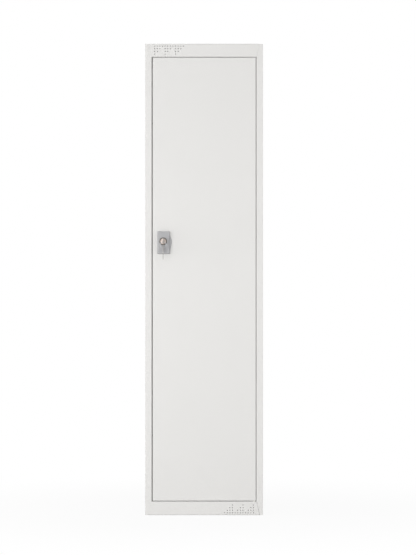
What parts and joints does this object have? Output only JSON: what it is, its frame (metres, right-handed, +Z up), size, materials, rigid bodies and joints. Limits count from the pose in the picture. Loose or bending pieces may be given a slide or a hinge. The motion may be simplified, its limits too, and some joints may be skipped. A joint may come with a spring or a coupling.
{
  "type": "steel locker cabinet",
  "caption": "Tall single-door steel storage cabinet with a folded frame, vented rails, pivot-hung flush door, cam lock with keys, hat shelf and coat rail.",
  "frame": {"origin": "on the floor, under the middle of the box that holds the locker and the key in its door", "axes": "+Z up, the front with the door faces -Y, the hinge is at +X"},
  "size_m": [0.45, 0.498, 1.8],
  "materials": {
    "painted_sheet": "fine-textured white-grey powder coat, semi-matt",
    "zinc_plated_steel": "bright zinc plate",
    "nylon": "natural nylon",
    "rubber": "matt",
    "grey_moulding": "fine matt grey moulding",
    "dark_ring": "satin dark grey",
    "lock_metal": "nickel-plated brass, satin, slightly warm"
  },
  "bodies": {
    "carcass": {"left_side_panel": "painted_sheet", "right_side_panel": "painted_sheet", "back_panel": "painted_sheet", "roof_panel": "painted_sheet", "floor_panel": "painted_sheet", "top_rail": "painted_sheet", "bottom_rail": "painted_sheet", "shelf": "painted_sheet", "shelf_bracket_left": "painted_sheet", "shelf_bracket_right": "painted_sheet", "shelf_rivet_left_front": "zinc_plated_steel", "shelf_rivet_left_rear": "zinc_plated_steel", "shelf_rivet_right_front": "zinc_plated_steel", "shelf_rivet_right_rear": "zinc_plated_steel", "rail_rivet_left": "zinc_plated_steel", "rail_rivet_right": "zinc_plated_steel", "coat_rail": "zinc_plated_steel", "rail_socket_left": "zinc_plated_steel", "rail_socket_right": "zinc_plated_steel", "top_pivot_plate": "zinc_plated_steel", "bottom_pivot_plate": "zinc_plated_steel", "top_hinge_pin": "zinc_plated_steel", "bottom_hinge_pin": "zinc_plated_steel", "hinge_washer": "nylon", "door_buffer_upper": "rubber", "door_buffer_lower": "rubber"},
    "door": {"door_panel": "painted_sheet", "door_stiffener": "painted_sheet", "top_hinge_bush": "nylon", "bottom_hinge_bush": "nylon", "lock_housing": "grey_moulding", "lock_bezel": "dark_ring", "lock_nut": "zinc_plated_steel", "lock_screw_upper": "zinc_plated_steel", "lock_screw_lower": "zinc_plated_steel"},
    "lock": {"lock_plug": "lock_metal", "lock_cam": "zinc_plated_steel", "cam_screw": "zinc_plated_steel"},
    "key": {"lock_key": "lock_metal"},
    "ring": {"key_ring": "zinc_plated_steel"},
    "spare": {"spare_key": "lock_metal"}
  },
  "joints": [
    {"name": "door_hinge", "type": "hinge", "parent": "carcass", "child": "door", "pos_m": [0.1913, -0.1955, 0.9], "axis": [0, 0, 1], "range_deg": [0, 110]},
    {"name": "lock_turn", "type": "hinge", "parent": "door", "child": "lock", "pos_m": [-0.1557, -0.201, 1.0454], "axis": [0, -1, 0], "range_deg": [0, 90]},
    {"name": "key_withdraw", "type": "slide", "parent": "lock", "child": "key", "axis": [0, -1, 0], "range_m": [0, 0.03]},
    {"name": "ring_swing", "type": "hinge", "parent": "key", "child": "ring", "pos_m": [-0.1557, -0.237, 1.0431], "axis": [-1, 0, 0], "range_deg": [-5, 80]},
    {"name": "spare_key_swing", "type": "hinge", "parent": "ring", "child": "spare", "pos_m": [-0.1557, -0.237, 1.0201], "axis": [-1, 0, 0], "range_deg": [-8, 60]}
  ]
}
